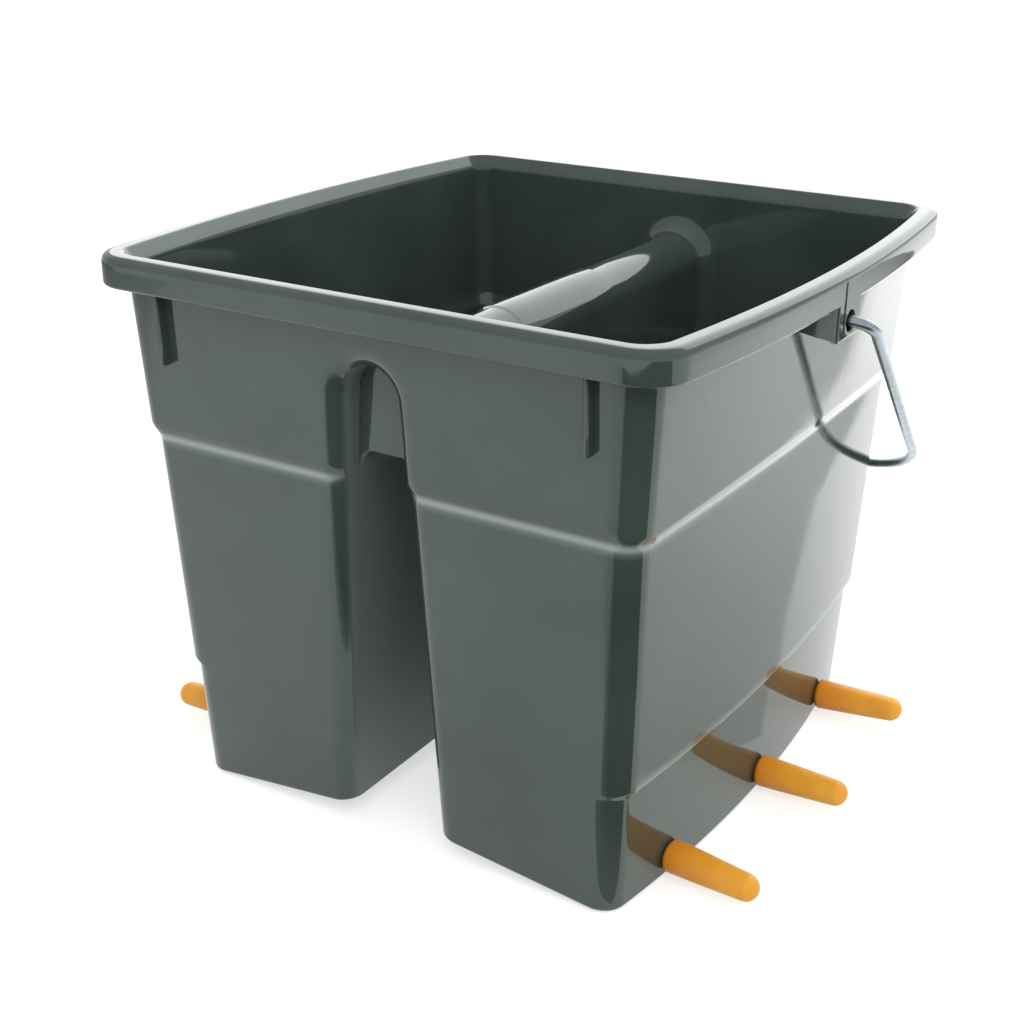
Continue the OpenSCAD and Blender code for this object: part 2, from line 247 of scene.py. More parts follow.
# %% [markdown]
# ## The feet
# The floors of both legs fall towards the teats, so that the last milk runs out. The lowest rows
# therefore start on a sloping floor and level out within a hand's width. The rounding between wall
# and floor needs no new rule: a row further inside the skin is the same row moved inwards.

# %% Rows of the floors
FLOOR_FADE = 45
FLOOR_PARTS = (0, 0.35, 0.7, 0.92)
LEVELLING_HEIGHTS = (12, 20, 30, FLOOR_FADE)
FLOOR_SLOPE = FLOOR_FALL / (BASE_WIDTH / 2 - slot_at(FLOOR_FALL))


def rounding(radius, first, last, count):
    """Steps of a rounded edge between two angles, as distances from the two faces that it joins."""
    turns = np.radians(np.linspace(first, last, count))
    return [(radius * (1 - math.cos(turn)), radius * (1 - math.sin(turn))) for turn in turns]


def floor_at(x):
    """Height of the sloping floor, which is lowest at the teats."""
    return FLOOR_SLOPE * np.maximum(BASE_WIDTH / 2 - x, 0)


def floor_rows(skin, lift):
    """From the middle of a leg's floor out to its wall, and up to where the rows are level."""
    fall = floor_at(lower_row(skin, FOOT_ROUND)[:, 0])
    rim_of_floor = lower_row(skin + FOOT_ROUND, fall + lift)
    middle = np.array([(rim_of_floor[:, 0].min() + rim_of_floor[:, 0].max()) / 2, 0, 0])
    rows = []
    for part in FLOOR_PARTS:
        row = middle + (rim_of_floor - middle) * [part, part, 1]
        row[:, 2] = floor_at(row[:, 0]) + lift
        rows.append(row)
    for inset, rise in rounding(FOOT_ROUND, 90, 0, 8):
        rows.append(lower_row(skin + inset, fall + lift + rise))
    for height in LEVELLING_HEIGHTS:
        rows.append(lower_row(skin, height + fall * (1 - height / FLOOR_FADE)))
    return rows


print("Floor falls", FLOOR_FALL, "mm in", len(floor_rows(0, 0)), "rows")

# %% [markdown]
# ## The legs
# Above the feet the walls are nearly straight, so a few rows are enough there. Each step gets eleven
# rows over its soft rise, and the arch gets seventeen over its quarter turn.

# %% Rows of the legs
ROWS_BELOW_STEPS = [52, 57]
ROWS_BETWEEN_STEPS = [69, 85, 105, 125, 145, 165, 178]
ROWS_ABOVE_STEPS = [193, 200, 210, 217]
STEP_RISE = np.linspace(0, 1, 11)
ARCH_TURNS = np.radians(np.linspace(0, 90, 17))
LEG_HEIGHTS = np.concatenate([ROWS_BELOW_STEPS,
                              LOW_STEP_HEIGHT - LOW_STEP_EARLY + LOW_STEP_SLOPE * STEP_RISE,
                              ROWS_BETWEEN_STEPS,
                              STEP_HEIGHT - STEP_EARLY + STEP_SLOPE * STEP_RISE,
                              ROWS_ABOVE_STEPS])


def leg_rows(skin, lift):
    """All rows of one skin from the floor to the top of the arch."""
    rows = floor_rows(skin, lift) + [lower_row(skin, z) for z in LEG_HEIGHTS]
    return rows + [arch_row(skin, turn) for turn in ARCH_TURNS]


outer_rows = leg_rows(0, 0)
inner_rows = leg_rows(WALL, WALL)
print("Rows on a skin:", len(outer_rows), "outside and", len(inner_rows), "inside")

# %% [markdown]
# ## The rim
# The rim folds out from the wall, runs level and hangs down as a skirt. Its section is a short list
# of roundings, and each point of the section is one more row of the same skin, so the tub stays one
# closed surface from the ground outside, over the rim, to the floor inside.

# %% Rows of the rim
ROWS_UNDER_RIM = (249, 255, 261, 264)
# The underside, as shares of the way out and drops that round its two inner corners
UNDERSIDE = ((0.04, 1.3), (0.12, 0.4), (0.25, 0), (0.6, 0), (0.8, 0.2), (0.94, 0.8), (1, 2))
LIP_ROLL = 1.5
LIP_TURN = 60
# The bevel below the lip, as distances inside the outer skin and below the top
LIP_BEVEL = ((1.2, 3.1), (2.3, 5), (2.75, 6), (2.95, 7), (WALL, 8.5), (WALL, 14))


def between(part, first, second):
    """A row so far on the way from one row to another."""
    return first + (second - first) * part


def rim_rows():
    """Up the wall, out along the underside, round the skirt's edge and up to the top."""
    rows = [upper_row(0, z) for z in ROWS_UNDER_RIM]
    for part, drop in UNDERSIDE:
        z = UNDER_RIM - drop
        rows.append(between(part, upper_row(0, z), rim_row(SKIRT_WALL, z)))
    rows += [rim_row(inset, SKIRT_BOTTOM + rise) for inset, rise in rounding(SKIRT_WALL / 2, 180, 0, 9)]
    rows.append(rim_row(0, (SKIRT_BOTTOM + TUB_HEIGHT) / 2))
    return rows + [rim_row(inset, TUB_HEIGHT - drop) for inset, drop in rounding(RIM_ROUND, 0, 90, 8)]


def lip_rows():
    """The rounded and bevelled inner edge of the rim, which leads down to the inside wall."""
    rows = [between(0.5, rim_row(RIM_ROUND, TUB_HEIGHT), upper_row(-LIP_ROLL, TUB_HEIGHT))]
    rows += [upper_row(-out, TUB_HEIGHT - drop) for drop, out in rounding(LIP_ROLL, 0, LIP_TURN, 7)]
    return rows + [upper_row(skin, TUB_HEIGHT - drop) for skin, drop in LIP_BEVEL]


all_rows = outer_rows + rim_rows() + lip_rows() + inner_rows[::-1]
print("Rows altogether:", len(all_rows))

# %% [markdown]
# ## One closed surface
# Faces go between neighbouring rows, and the quarter is mirrored to the other three. A mirror
# modifier would do the same, but here the doubled points on the seams can be joined at once, and
# bmesh turns all faces outwards.

# %% Join the rows into a closed tub
JOIN_WITHIN = 2e-6
SMALLEST_EDGE = 1e-7


def skin_quarter(rows):
    """Faces between neighbouring rows; a row above the tunnel has only the outer columns."""
    starts = np.cumsum([0] + [len(row) for row in rows])
    total = INNER_COLUMNS + OUTER_COLUMNS
    faces = []
    for k in range(len(rows) - 1):
        first = total - min(len(rows[k]), len(rows[k + 1]))
        low = starts[k + 1] - total
        high = starts[k + 2] - total
        faces += [(low + c, low + c + 1, high + c + 1, high + c) for c in range(first, total - 1)]
    return np.concatenate(rows), faces


def mirrored_four_times(points, faces):
    """The quarter and its three mirror images."""
    corners, sides = [], []
    for x, y in ((1, 1), (-1, 1), (-1, -1), (1, -1)):
        base = len(points) * len(corners)
        corners.append(points * [x, y, 1])
        turned = [f if x * y > 0 else f[::-1] for f in faces]
        sides += [tuple(base + i for i in f) for f in turned]
    return np.concatenate(corners), sides


def mesh_from(name, points, faces):
    """A smooth mesh in metres, with doubled points joined and its faces turned outwards."""
    mesh = bpy.data.meshes.new(name)
    mesh.from_pydata((np.asarray(points) * MM).tolist(), [], [list(map(int, f)) for f in faces])
    work = bmesh.new()
    work.from_mesh(mesh)
    bmesh.ops.remove_doubles(work, verts=work.verts, dist=JOIN_WITHIN)
    bmesh.ops.dissolve_degenerate(work, edges=work.edges, dist=SMALLEST_EDGE)
    bmesh.ops.recalc_face_normals(work, faces=work.faces)
    for face in work.faces:
        face.smooth = True
    work.to_mesh(mesh)
    work.free()
    return mesh


tub_mesh = mesh_from("tub_skin", *mirrored_four_times(*skin_quarter(all_rows)))
print("Tub skin:", len(tub_mesh.vertices), "points")

# %% [markdown]
# ## Webs
# Webs, fins and ears are ribs of the same moulding. Booleans would spoil the tidy rows, so the ribs
# are shells that run into the tub's wall. The two webs close the tunnel above the rail, which bears
# on their lower edges. A web is a chain of rings: down its front, round its lower edge, up its back.

# %% A web across the tunnel
WEB_SETBACK = 14
WEB_FACE = face_at(STEP_HEIGHT + STEP_SLOPE) - WEB_SETBACK
WEB_THICKNESS = 4
WEB_BOTTOM = 194.5
WEB_ROUND = 8
WEB_ROLL = 1.0
WEB_LEVEL = 6
WEB_EDGE = slot_at(WEB_BOTTOM)
LEAST_WEB = 2
INTO_WALL = 0.8


def ring_strip(rings):
    """Skins a chain of rings whose last one is joined to the first."""
    count = len(rings[0])
    faces = []
    for k in range(len(rings)):
        a = k * count
        b = (k + 1) % len(rings) * count
        faces += [(a + i, a + (i + 1) % count, b + (i + 1) % count, b + i) for i in range(count)]
    return np.concatenate(rings), faces


def closed_tube(rings):
    """Skins a chain of rings and closes both of its ends."""
    points, faces = ring_strip(rings)
    count = len(rings[0])
    ends = [tuple(range(count)), tuple(range(len(points) - count, len(points)))]
    return points, faces[:-count] + ends


def web_section(x):
    """Lower and upper height of the web at one place across the tunnel."""
    past = np.clip(abs(x) - (WEB_EDGE - WEB_ROUND), 0, WEB_ROUND)
    low = WEB_BOTTOM - (WEB_ROUND - math.sqrt(WEB_ROUND ** 2 - past ** 2))
    reach = ARCH_RADIUS + INTO_WALL
    if abs(x) < reach:
        return low, ARCH_MIDDLE + math.sqrt(reach ** 2 - x ** 2)
    return low, max(ARCH_MIDDLE - (abs(x) - reach) / math.tan(math.radians(DRAFT)), low + LEAST_WEB)


def web_shell(side):
    """The web near the front or the back mouth of the tunnel."""
    half = WEB_THICKNESS / 2
    turns = np.radians(np.linspace(0, 180, 9))
    lower_edge = np.sign(np.cos(turns)) * (half - WEB_ROLL) + WEB_ROLL * np.cos(turns)
    y = side * (WEB_FACE - half + np.concatenate([[half], lower_edge, [-half]]))
    ends = np.linspace(WEB_EDGE - WEB_ROUND, slot_at(WEB_BOTTOM - WEB_ROUND) + INTO_WALL, 20)
    rings = []
    for x in np.concatenate([-ends[::-1], np.linspace(-WEB_LEVEL, WEB_LEVEL, 5), ends]):
        low, high = web_section(x)
        z = np.concatenate([[high], low + WEB_ROLL * (1 - np.sin(turns)), [high]])
        rings.append(np.column_stack([np.full(len(y), x), y, z]))
    return closed_tube(rings)


webs = [web_shell(1), web_shell(-1)]
print("Webs:", len(webs), "of", len(webs[0][0]), "points each")

# %% [markdown]
# ## Fins
# The four fins under the skirt keep stacked tubs from jamming. A fin is an upright plate with
# rounded edges. Its two long edges lean with the wall, so that it stands out evenly and never shows
# inside the tub.

# %% A fin under the skirt
FIN_X = 109
FIN_THICKNESS = 2.4
FIN_ROUND = 0.8
FIN_DROP = 34
FIN_BOTTOM = SKIRT_BOTTOM - FIN_DROP
FIN_SETBACK = 4.5
INTO_RIM = 0.6
LEAST_ROUND = 0.05


def rounded_outline(half_x, half_y, radius, steps=6):
    """Points of a rounded rectangle about the origin."""
    turns = np.radians(np.linspace(0, 90, steps + 1))
    quarter = np.column_stack([half_x - radius + radius * np.cos(turns),
                               half_y - radius + radius * np.sin(turns)])
    return np.concatenate([quarter, (quarter * [-1, 1])[::-1], -quarter, (quarter * [1, -1])[::-1]])


def rounded_plate(low, high, radius):
    """A block between two corners, with rounded upright edges and a rounded lower end."""
    low, high = np.array(low, float), np.array(high, float)
    middle, half = (low + high) / 2, (high - low) / 2
    rings = []
    for inset, rise in rounding(radius, 90, 0, 7):
        outline = rounded_outline(half[0] - inset, half[1] - inset, max(radius - inset, LEAST_ROUND))
        rings.append(np.column_stack([outline + middle[:2], np.full(len(outline), low[2] + rise)]))
    top = rings[-1].copy()
    top[:, 2] = high[2]
    return closed_tube(rings + [top])


def fin_shell(side_x, side_y):
    """A plate from inside the wall to a little behind the skirt, leaned over at both edges."""
    inner = face_at(FIN_BOTTOM) - INTO_WALL
    outer = RIM_FACE - FIN_SETBACK
    points, faces = rounded_plate((FIN_X - FIN_THICKNESS / 2, inner, FIN_BOTTOM),
                                  (FIN_X + FIN_THICKNESS / 2, outer, UNDER_RIM + INTO_RIM), FIN_ROUND)
    at_wall = points[:, 1] < (inner + outer) / 2
    points[at_wall, 1] += lean(points[at_wall, 2] - FIN_BOTTOM)
    points[~at_wall, 1] += lean(points[~at_wall, 2] - UNDER_RIM)
    return points * [side_x, side_y, 1], faces


fins = [fin_shell(x, y) for x in (1, -1) for y in (1, -1)]
print("Fins:", len(fins), "of", len(fins[0][0]), "points each")

# %% [markdown]
# ## Ears
# The two ears carry the bail. Each has a tab that hangs from the skirt, a low pad round the hole and
# two slanted sides. The hole is real, because the wire shows in it. A boolean could cut it, but a
# plate made of rings needs no cut: the outer rings have its outline, the inner ones are circles.

# %% A plate round the bail's hole
EAR_HOLE = 10
HOLE_ROLL = 0.6
HOLE_POINTS = 128
NEARLY_ZERO = 1e-9


def plate_with_hole(outlines, low, high, back):
    """A plate across X with the bail's hole. Each outline gives a half width, an inset and its X."""
    turns = np.linspace(0, 2 * math.pi, HOLE_POINTS, endpoint=False)
    ray_y, ray_z = np.cos(turns), np.sin(turns)
    section = []
    for half_y, inset, x in outlines:
        reach_y = half_y / np.maximum(np.abs(ray_y), NEARLY_ZERO)
        half_z = np.where(ray_z > 0, high - inset - PIVOT_HEIGHT, PIVOT_HEIGHT - low - inset)
        reach_z = half_z / np.maximum(np.abs(ray_z), NEARLY_ZERO)
        section.append((np.minimum(reach_y, reach_z), x))
    front = outlines[-1][2]
    section += [(EAR_HOLE / 2 + wider, front - drop) for wider, drop in rounding(HOLE_ROLL, 90, 0, 5)]
    section.append((EAR_HOLE / 2, back))
    return ring_strip([np.column_stack([np.full(HOLE_POINTS, x), ray_y * r, PIVOT_HEIGHT + ray_z * r])
                       for r, x in section])


print("Hole of", EAR_HOLE, "mm, drawn with", HOLE_POINTS, "points")

# %% [markdown]
# The tab and the pad are two such plates, one before the other. The sides are thin ribs whose lower
# edge rises towards the wall. The left ear is a mirror image of the right one.

# %% The two ears
EAR_HALF = 25
TAB_HALF = 13
TAB_ROLL = 1.2
TAB_INTO_SKIRT = 3
EAR_DROP = 16
EAR_BOTTOM = SKIRT_BOTTOM - EAR_DROP
EAR_RISE = 6.5
EAR_RIB = 2
EAR_RIB_ROUND = 0.7
EAR_OFF_WALL = 0.6
# A side starts a little behind the tab's face, as a share of its way to the wall.
EAR_SIDE_START = 0.06
PAD_HALF = 7
PAD_OUT = 0.4
PAD_ROLL = 0.4
SKIRT_X = RIM_SIDE + RIM_BULGE
TAB_X = SKIRT_X - 0.1


def slanted_side(side):
    """The side of an ear that runs from its tab back to the wall, with a lower edge that rises."""
    wall_x = swell_at(PIVOT_HEIGHT) + EAR_OFF_WALL
    out, along = TAB_X - wall_x, EAR_HALF - TAB_HALF
    across = np.array([along, out]) / math.hypot(along, out)
    rings = []
    for part in (EAR_SIDE_START, 1):
        x = TAB_X - out * part - across[0] * EAR_RIB / 2
        y = TAB_HALF + along * part - across[1] * EAR_RIB / 2
        low = EAR_BOTTOM + EAR_RISE * part
        high = UNDER_RIM + INTO_RIM
        outline = rounded_outline(EAR_RIB / 2, (high - low) / 2, EAR_RIB_ROUND)
        z = (low + high) / 2 + outline[:, 1]
        follow = part * (swell_at(z) - swell_at(PIVOT_HEIGHT))
        rings.append(np.column_stack([x + follow + across[0] * outline[:, 0],
                                      side * (y + across[1] * outline[:, 0]), z]))
    return closed_tube(rings)


def rolled_edge(half, front, roll, back):
    """Outlines of a plate from its back to its front, with a rounded front edge."""
    rolled = rounding(roll, 0, 90, 7)
    return [(half, 0, back)] + [(half - inset, inset, front - drop) for inset, drop in rolled]


def ear_shells():
    """The right ear: a tab under the skirt, a low pad round the hole, and two slanted sides."""
    back = TAB_X - SKIRT_WALL
    tab = rolled_edge(TAB_HALF, TAB_X, TAB_ROLL, back)
    pad = rolled_edge(PAD_HALF, SKIRT_X + PAD_OUT, PAD_ROLL, back)
    return [plate_with_hole(tab, EAR_BOTTOM, SKIRT_BOTTOM + TAB_INTO_SKIRT, back),
            plate_with_hole(pad, EAR_BOTTOM + TAB_ROLL, TUB_HEIGHT - RIM_ROUND, back),
            slanted_side(1), slanted_side(-1)]


ears = []
for points, faces in ear_shells():
    ears += [(points, faces), (points * [-1, 1, 1], faces)]
print("Ears:", len(ears), "shells")

# %% [markdown]
# ## One object
# The shells and the skin become one mesh, as they are one moulding. Smooth shading alone would bend
# the light on the flats next to each rounding. A weighted normal modifier lets the large faces lead,
# and its result is kept as a plain mesh.

# %% Join the ribs to the tub
def joined(name, parts):
    """One mesh out of several shells."""
    work = bmesh.new()
    for part in parts:
        work.from_mesh(part)
    mesh = bpy.data.meshes.new(name)
    work.to_mesh(mesh)
    work.free()
    for part in parts:
        bpy.data.meshes.remove(part)
    return mesh


def piece(name, data):
    """An object in the scene that shows this mesh or curve."""
    made = bpy.data.objects.new(name, data)
    bpy.context.scene.collection.objects.link(made)
    return made


def even_shading(shape):
    """Lets large faces lead the shading, so that flats look flat right up to their roundings."""
    lead = shape.modifiers.new("large_faces_lead", "WEIGHTED_NORMAL")
    lead.weight = 100
    graph = bpy.context.evaluated_depsgraph_get()
    shaded = bpy.data.meshes.new_from_object(shape.evaluated_get(graph))
    shape.modifiers.remove(lead)
    shape.data = shaded
    return shape


parts = [tub_mesh] + [mesh_from("rib", points, faces) for points, faces in webs + fins + ears]
feeder_tub = even_shading(piece("feeder_tub", joined("feeder_tub", parts)))
print("Feeder tub:", len(feeder_tub.data.polygons), "faces")

# %% [markdown]
# ## Painted highlights and a dull tunnel
# A pale line along both steps is a painted highlight. The tunnel is duller, and its paler colour is
# painted light. A texture image could show this, but two numbers stored on each point do it without
# an image. The finish reads them by name.

# %% Mark the finish on the points
# Where the painted highlight runs along the two steps, and how far the tunnel's dull, paler marking reaches
STEP_HIGHLIGHT_HEIGHT = STEP_HEIGHT - 1.5
STEP_HIGHLIGHT_REACH = 3.6
LOW_STEP_HIGHLIGHT_HEIGHT = LOW_STEP_HEIGHT + 2.6
LOW_STEP_HIGHLIGHT_REACH = 1.9
DULL_AND_PAINTED_LIGHT_REACH = 2
FACES_ALONG_TUNNEL = 0.5


def off_tunnel(x, z):
    """How far a point is outside the tunnel's wall."""
    if z > ARCH_MIDDLE:
        return math.hypot(x, z - ARCH_MIDDLE) - ARCH_RADIUS
    return abs(x) - slot_at(z)


def mark_finish(mesh):
    """Stores the painted highlight on the steps, and where the tunnel is dull and painted paler."""
    painted_step_highlight = mesh.attributes.new("painted_step_highlight", "FLOAT", "POINT")
    dull_and_painted_light = mesh.attributes.new("dull_and_painted_light", "FLOAT", "POINT")
    for point in mesh.vertices:
        x, y, z = point.co / MM
        off = off_tunnel(x, z)
        if point.normal.x * x + point.normal.y * y > 0:
            # The pale band along each step is a painted highlight.
            highlight = soft(1 - abs(z - STEP_HIGHLIGHT_HEIGHT) / STEP_HIGHLIGHT_REACH)
            # Only the side walls have the lower step.
            if abs(y) < face_at(z) - CORNER_RADIUS:
                highlight += soft(1 - abs(z - LOW_STEP_HIGHLIGHT_HEIGHT) / LOW_STEP_HIGHLIGHT_REACH)
            painted_step_highlight.data[point.index].value = highlight * soft(off / MOUTH_ROUND)
        # The tunnel is marked for a real duller gloss and for a paler colour that is painted light.
        if abs(point.normal.y) < FACES_ALONG_TUNNEL:
            dull_and_painted_light.data[point.index].value = soft(1 - off / DULL_AND_PAINTED_LIGHT_REACH)


mark_finish(feeder_tub.data)
print("Marked:", [name for name in ("painted_step_highlight", "dull_and_painted_light") if name in feeder_tub.data.attributes])

# %% [markdown]
# ## The bail
# The bail is one length of plated wire. It is hooked through both ears, bent out past the rim and
# across the back, where it rests on the wall. Its path is drawn flat first, with a rounded bend at
# each corner, and then turned down about the ears to where it rests.

# %% The path of the wire
WIRE = 5.5
BAIL_REACH = 187
ARM_GAP = 11
ARM_X = SKIRT_X + ARM_GAP
ARM_LEAN = 15
TAIL_LENGTH = 10
TAIL_X = (swell_at(PIVOT_HEIGHT) + TAB_X - SKIRT_WALL) / 2
TAIL_BEND = 4
HOOK_BEND = 10
BAIL_CORNER = 40
BAIL_GAP = 0.3
UPRIGHT_WALL = (BASE_DEPTH / 2 + lean(PIVOT_HEIGHT)) * math.cos(math.radians(DRAFT))
BAIL_REST = math.radians(DRAFT) + math.acos((UPRIGHT_WALL + WIRE / 2 + BAIL_GAP) / BAIL_REACH)


def rounded_path(corners, bends, steps=14):
    """A line through the corners, with each inner corner replaced by an arc."""
    path = [np.array(corners[0], float)]
    for before, corner, after, radius in zip(corners, corners[1:], corners[2:], bends):
        back = np.subtract(before, corner) / np.linalg.norm(np.subtract(before, corner))
        on = np.subtract(after, corner) / np.linalg.norm(np.subtract(after, corner))
        half = math.acos(float(back @ on)) / 2
        middle = corner + (back + on) / np.linalg.norm(back + on) * radius / math.sin(half)
        start = corner + back * radius / math.tan(half) - middle
        stop = corner + on * radius / math.tan(half) - middle
        sweep = math.acos(float(start @ stop) / radius ** 2)
        for part in np.linspace(0, 1, steps):
            turned = math.sin(sweep * (1 - part)) * start + math.sin(sweep * part) * stop
            path.append(middle + turned / math.sin(sweep))
    return path + [np.array(corners[-1], float)]


half_path = [(TAIL_X, -TAIL_LENGTH), (TAIL_X, 0), (ARM_X, 0), (ARM_X - ARM_LEAN, BAIL_REACH)]
half_bends = [TAIL_BEND, HOOK_BEND, BAIL_CORNER]
flat_path = rounded_path(half_path + [(-x, d) for x, d in half_path[::-1]], half_bends + half_bends[::-1])
wire_path = [(x, d * math.cos(BAIL_REST), PIVOT_HEIGHT - d * math.sin(BAIL_REST)) for x, d in flat_path]
print("Bail rests", round(math.degrees(BAIL_REST), 1), "degrees below level on", len(wire_path), "points")

# %% [markdown]
# ## A sweep with Geometry Nodes
# A wire is a path with a round section, which is what Geometry Nodes do best: the path is a curve,
# and the tree sweeps a circle along it. The wire has one thickness. A teat's thickness changes along
# its axis and is stored as the radius of the curve's points. The tree ends with Realize Instances
# and Set Material.

# %% A tree that sweeps a circle along a curve
def add(tree, kind, values=None, links=None, **settings):
    """Adds a node, sets its properties and its input values, and links other nodes into it."""
    node = tree.nodes.new(kind)
    for name, value in settings.items():
        setattr(node, name, value)
    for name, value in (values or {}).items():
        node.inputs[name].default_value = value
    for name, source in (links or {}).items():
        tree.links.new(source, node.inputs[name])
    return node


def sweep_tree():
    """The tree, with named inputs for the path, the section and the finish."""
    tree = bpy.data.node_groups.new("Sweep a round section", "GeometryNodeTree")
    for name, kind in (("Path", "NodeSocketGeometry"), ("Section radius", "NodeSocketFloat"),
                       ("Section sides", "NodeSocketInt"), ("Finish", "NodeSocketMaterial")):
        tree.interface.new_socket(name, in_out="INPUT", socket_type=kind)
    tree.interface.new_socket("Swept piece", in_out="OUTPUT", socket_type="NodeSocketGeometry")
    given = add(tree, "NodeGroupInput").outputs
    section = add(tree, "GeometryNodeCurvePrimitiveCircle",
                  links={"Radius": given["Section radius"], "Resolution": given["Section sides"]})
    tube = add(tree, "GeometryNodeCurveToMesh", {"Fill Caps": True},
               {"Curve": given["Path"], "Profile Curve": section.outputs["Curve"]})
    # Older versions of the node take the radius by themselves and have no input for it.
    if "Scale" in tube.inputs:
        thickness = add(tree, "GeometryNodeInputRadius")
        tree.links.new(thickness.outputs["Radius"], tube.inputs["Scale"])
    smooth = add(tree, "GeometryNodeSetShadeSmooth", links={"Geometry": tube.outputs["Mesh"]})
    whole = add(tree, "GeometryNodeRealizeInstances", links={"Geometry": smooth.outputs["Geometry"]})
    finished = add(tree, "GeometryNodeSetMaterial",
                   links={"Geometry": whole.outputs["Geometry"], "Material": given["Finish"]})
    add(tree, "NodeGroupOutput", links={"Swept piece": finished.outputs["Geometry"]})
    return tree


SWEEP = sweep_tree()
print("Tree:", SWEEP.name, "with", len(SWEEP.nodes), "nodes")

# %% [markdown]
# ## Finishes
# Colours are written as the hex values that a picture shows and turned into linear light by one
# function. Patterns are noise in object coordinates, measured in millimetres, so they stay on a
# piece when it moves.

# %% Helpers for finishes
def linear(hex_colour):
    """Linear red, green, blue and alpha of a hex colour."""
    values = [int(hex_colour[i:i + 2], 16) / 255 for i in (1, 3, 5)]
    return tuple(v / 12.92 if v <= 0.04045 else ((v + 0.055) / 1.055) ** 2.4 for v in values) + (1.0,)


def finish(name):
    """A new material with its node tree, its shader and the object coordinates to draw patterns in."""
    made = bpy.data.materials.new(name)
    made.use_nodes = True
    tree = made.node_tree
    shader = tree.nodes["Principled BSDF"]
    place = add(tree, "ShaderNodeTexCoord").outputs["Object"]
    return made, tree, shader, place


def speckle(tree, place, size_mm, detail):
    """Noise whose grains are about this many millimetres wide."""
    return add(tree, "ShaderNodeTexNoise", {"Scale": 1 / (size_mm * MM), "Detail": detail},
               {"Vector": place}).outputs["Fac"]


def ramp(tree, source, low, high):
    """Maps a pattern from its middle range onto two numbers."""
    return add(tree, "ShaderNodeMapRange",
               {"From Min": 0.3, "From Max": 0.7, "To Min": low, "To Max": high},
               {"Value": source}).outputs["Result"]


def blend(tree, factor, first, second):
    """Goes from one colour to another by a factor. A colour is a hex value or a node's output."""
    mix = add(tree, "ShaderNodeMix", links={"Factor": factor}, data_type="RGBA")
    for socket, colour in zip([s for s in mix.inputs if s.type == "RGBA"], (first, second)):
        if isinstance(colour, str):
            socket.default_value = linear(colour)
        else:
            tree.links.new(colour, socket)
    return [s for s in mix.outputs if s.type == "RGBA"][0]


def tint(tree, source, dark, light):
    """Mixes two colours by a pattern."""
    return blend(tree, ramp(tree, source, 0.0, 1.0), dark, light)


def relief(tree, shader, height, strength, distance):
    """Lets a pattern tilt the light, as if the surface went up and down by this distance."""
    bump = add(tree, "ShaderNodeBump", {"Strength": strength, "Distance": distance}, {"Height": height})
    tree.links.new(bump.outputs["Normal"], shader.inputs["Normal"])


print("Middle grey is", round(linear("#808080")[0], 3), "in linear light")

# %% [markdown]
# ## Polypropylene
# The tub has a gloss from the polished mould, so it is dark where it mirrors something dark and pale
# where the wall is seen at a low angle. The steps carry a painted highlight, and the tunnel is duller,
# with a paler colour that is painted light. The mid tones lean to green, so the reflections are
# tinted, which fades at low angles by itself.

# %% Polypropylene with a mould gloss
GLOSS_IOR = 1.6
GREEN_TINT = (0.88, 1.0, 0.92, 1.0)
DULL_ROUGHNESS = 0.45


def moulded_polypropylene():
    """Dark green-grey plastic that reads the painted step highlight and the dull tunnel from the mesh."""
    made, tree, shader, place = finish("moulded_green_grey_polypropylene")
    painted_step_highlight = add(tree, "ShaderNodeAttribute", attribute_name="painted_step_highlight").outputs["Fac"]
    dull_and_painted_light = add(tree, "ShaderNodeAttribute", attribute_name="dull_and_painted_light").outputs["Fac"]
    # Flow marks a few centimetres long make the colour drift slightly.
    own_colour = tint(tree, speckle(tree, place, 45, 3), "#36403a", "#3f4943")
    # The pale lines on the steps are a painted highlight.
    with_step_highlight = blend(tree, painted_step_highlight, own_colour, "#96a19a")
    # The tunnel's paler colour is painted light; its higher roughness further down is real.
    tree.links.new(blend(tree, dull_and_painted_light, with_step_highlight, "#626c66"), shader.inputs["Base Color"])
    # Handling dulls the gloss in cloudy patches.
    handled = ramp(tree, speckle(tree, place, 28, 4), 0.05, 0.09)
    gloss = add(tree, "ShaderNodeMapRange", {"To Max": DULL_ROUGHNESS}, {"Value": dull_and_painted_light, "To Min": handled})
    tree.links.new(gloss.outputs["Result"], shader.inputs["Roughness"])
    # The skin of the mould leaves ripples that are only just felt.
    relief(tree, shader, speckle(tree, place, 9, 2), 0.05, 0.0004)
    shader.inputs["IOR"].default_value = GLOSS_IOR
    shader.inputs["Specular Tint"].default_value = GREEN_TINT
    return made


TUB_PLASTIC = moulded_polypropylene()
feeder_tub.data.materials.append(TUB_PLASTIC)
print("Finish:", TUB_PLASTIC.name, "with", len(TUB_PLASTIC.node_tree.nodes), "nodes")

# %% [markdown]
# ## Latex
# The teats are dipped in amber latex. Light goes a few millimetres into it, which subsurface
# scattering gives. The shoulder is thicker and more orange. A teat's axis lies nearly along X, so
# the distance from the middle of the tub tells how far along the teat a point is.

# %% Amber latex
SHOULDER_X = BASE_WIDTH / 2 + BASE_BULGE
SHOULDER_FADE = 24
SHOULDER_SHARE = 0.6
LATEX_DEPTH = (0.006, 0.003, 0.001)


